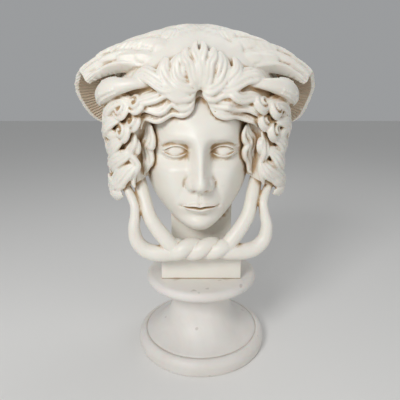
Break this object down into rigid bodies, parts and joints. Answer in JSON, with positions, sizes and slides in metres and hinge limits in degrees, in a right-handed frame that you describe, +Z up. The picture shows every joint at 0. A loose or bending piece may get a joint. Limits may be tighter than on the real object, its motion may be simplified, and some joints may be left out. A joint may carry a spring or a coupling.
{
  "type": "gorgon mask on socle",
  "caption": "Winged gorgon's head in white marble: waved hair, wings and snakes knotted under the chin, carved in one with a foot block, on a turned round socle.",
  "frame": {"origin": "middle of the round socle's underside, on the turning axis", "axes": "+Z up along the socle's turning axis; the face looks along -Y; +X is to the right of someone looking at the face"},
  "size_m": [0.3516, 0.206, 0.4911],
  "materials": {
    "mask_marble": "satin",
    "socle_marble": "satin"
  },
  "bodies": {
    "root": {"socle": "socle_marble", "gorgon_mask": "mask_marble"}
  },
  "joints": []
}
